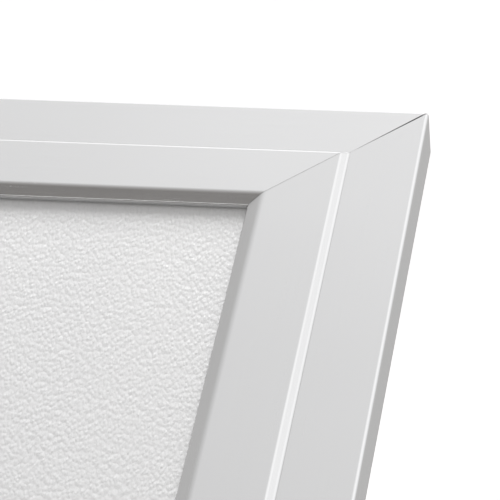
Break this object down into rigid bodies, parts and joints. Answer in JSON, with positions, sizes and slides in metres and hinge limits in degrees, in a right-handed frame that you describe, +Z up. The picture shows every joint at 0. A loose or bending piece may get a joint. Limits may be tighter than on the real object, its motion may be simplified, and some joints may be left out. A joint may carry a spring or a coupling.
{
  "type": "sandwich board",
  "caption": "Folding A-frame sandwich board: two mitred aluminium snap frames hinged at the top, each holding a poster behind a pebbled anti-glare sheet.",
  "frame": {"origin": "floor level, midway between the two frames, under the hinge line", "axes": "+Z up, +X along the board's width, front frame faces -Y"},
  "size_m": [0.6572, 0.5896, 0.8485],
  "materials": {
    "profile_aluminium": "silver anodised, satin",
    "cover_aluminium": "silver anodised, satin",
    "key_aluminium": "die-cast, as cast",
    "steel_fasteners": "zinc plated",
    "spring_steel": "spring steel, oiled",
    "back_panel": "matt rigid sheet",
    "poster_paper": "plain white paper",
    "anti_glare_sheet": "clear sheet, fine pebbled matt face",
    "foot_rubber": "matt black",
    "hinge_steel": "zinc plated",
    "stay_steel": "zinc plated"
  },
  "bodies": {
    "front_frame": {"front_rail_top": "profile_aluminium", "front_rail_right": "profile_aluminium", "front_rail_bottom": "profile_aluminium", "front_rail_left": "profile_aluminium", "front_corner_keys": "key_aluminium", "front_key_screws": "steel_fasteners", "front_springs": "spring_steel", "front_back_panel": "back_panel", "front_poster": "poster_paper", "front_sheet": "anti_glare_sheet", "front_feet": "foot_rubber", "front_hinge_leaf_left": "hinge_steel", "front_hinge_leaf_right": "hinge_steel", "front_hinge_screws": "steel_fasteners", "front_stay_rivets": "steel_fasteners", "hinge_pin_left": "steel_fasteners", "hinge_pin_right": "steel_fasteners"},
    "rear_frame": {"rear_rail_top": "profile_aluminium", "rear_rail_right": "profile_aluminium", "rear_rail_bottom": "profile_aluminium", "rear_rail_left": "profile_aluminium", "rear_corner_keys": "key_aluminium", "rear_key_screws": "steel_fasteners", "rear_springs": "spring_steel", "rear_back_panel": "back_panel", "rear_poster": "poster_paper", "rear_sheet": "anti_glare_sheet", "rear_feet": "foot_rubber", "rear_hinge_leaf_left": "hinge_steel", "rear_hinge_leaf_right": "hinge_steel", "rear_hinge_screws": "steel_fasteners", "rear_stay_rivets": "steel_fasteners", "rear_stay_spacers": "steel_fasteners"},
    "front_cover_top_body": {"front_cover_top": "cover_aluminium"},
    "front_cover_right_body": {"front_cover_right": "cover_aluminium"},
    "front_cover_bottom_body": {"front_cover_bottom": "cover_aluminium"},
    "front_cover_left_body": {"front_cover_left": "cover_aluminium"},
    "rear_cover_top_body": {"rear_cover_top": "cover_aluminium"},
    "rear_cover_right_body": {"rear_cover_right": "cover_aluminium"},
    "rear_cover_bottom_body": {"rear_cover_bottom": "cover_aluminium"},
    "rear_cover_left_body": {"rear_cover_left": "cover_aluminium"},
    "front_stay_left_body": {"front_stay_left": "stay_steel"},
    "front_stay_right_body": {"front_stay_right": "stay_steel"},
    "rear_stay_left_body": {"rear_stay_left": "stay_steel"},
    "rear_stay_right_body": {"rear_stay_right": "stay_steel"}
  },
  "joints": [
    {"name": "fold", "type": "hinge", "parent": "front_frame", "child": "rear_frame", "pos_m": [0, 0, 0.83203], "axis": [-1, 0, 0], "range_deg": [0, 37]},
    {"name": "front_cover_top_flip", "type": "hinge", "parent": "front_frame", "child": "front_cover_top_body", "pos_m": [0, -0.01559, 0.83239], "axis": [-1, 0, 0], "range_deg": [0, 68]},
    {"name": "front_cover_right_flip", "type": "hinge", "parent": "front_frame", "child": "front_cover_right_body", "pos_m": [0.3039, -0.15121, 0.42708], "axis": [0, 0.3173, 0.9483], "range_deg": [0, 68]},
    {"name": "front_cover_bottom_flip", "type": "hinge", "parent": "front_frame", "child": "front_cover_bottom_body", "pos_m": [0, -0.28682, 0.02177], "axis": [1, 0, 0], "range_deg": [0, 68]},
    {"name": "front_cover_left_flip", "type": "hinge", "parent": "front_frame", "child": "front_cover_left_body", "pos_m": [-0.3039, -0.15121, 0.42708], "axis": [0, -0.3173, -0.9483], "range_deg": [0, 68]},
    {"name": "rear_cover_top_flip", "type": "hinge", "parent": "rear_frame", "child": "rear_cover_top_body", "pos_m": [0, 0.01559, 0.83239], "axis": [1, 0, 0], "range_deg": [0, 68]},
    {"name": "rear_cover_right_flip", "type": "hinge", "parent": "rear_frame", "child": "rear_cover_right_body", "pos_m": [-0.3039, 0.15121, 0.42708], "axis": [0, -0.3173, 0.9483], "range_deg": [0, 68]},
    {"name": "rear_cover_bottom_flip", "type": "hinge", "parent": "rear_frame", "child": "rear_cover_bottom_body", "pos_m": [0, 0.28682, 0.02177], "axis": [-1, 0, 0], "range_deg": [0, 68]},
    {"name": "rear_cover_left_flip", "type": "hinge", "parent": "rear_frame", "child": "rear_cover_left_body", "pos_m": [0.3039, 0.15121, 0.42708], "axis": [0, 0.3173, -0.9483], "range_deg": [0, 68]},
    {"name": "front_stay_left_pivot", "type": "hinge", "parent": "front_frame", "child": "front_stay_left_body", "pos_m": [-0.3225, -0.13447, 0.46577], "axis": [1, 0, 0], "range_deg": [0, 66.69]},
    {"name": "front_stay_right_pivot", "type": "hinge", "parent": "front_frame", "child": "front_stay_right_body", "pos_m": [0.3225, -0.13447, 0.46577], "axis": [1, 0, 0], "range_deg": [0, 66.69]},
    {"name": "rear_stay_left_pivot", "type": "hinge", "parent": "rear_frame", "child": "rear_stay_left_body", "pos_m": [-0.3225, 0.13447, 0.46577], "axis": [-1, 0, 0], "range_deg": [0, 66.69]},
    {"name": "rear_stay_right_pivot", "type": "hinge", "parent": "rear_frame", "child": "rear_stay_right_body", "pos_m": [0.3225, 0.13447, 0.46577], "axis": [-1, 0, 0], "range_deg": [0, 66.69]}
  ],
  "couplings": [
    {"joint": "front_stay_left_pivot", "follows": "fold", "ratio": 1.8021},
    {"joint": "front_stay_right_pivot", "follows": "fold", "ratio": 1.8021},
    {"joint": "rear_stay_left_pivot", "follows": "fold", "ratio": 1.8021},
    {"joint": "rear_stay_right_pivot", "follows": "fold", "ratio": 1.8021}
  ]
}
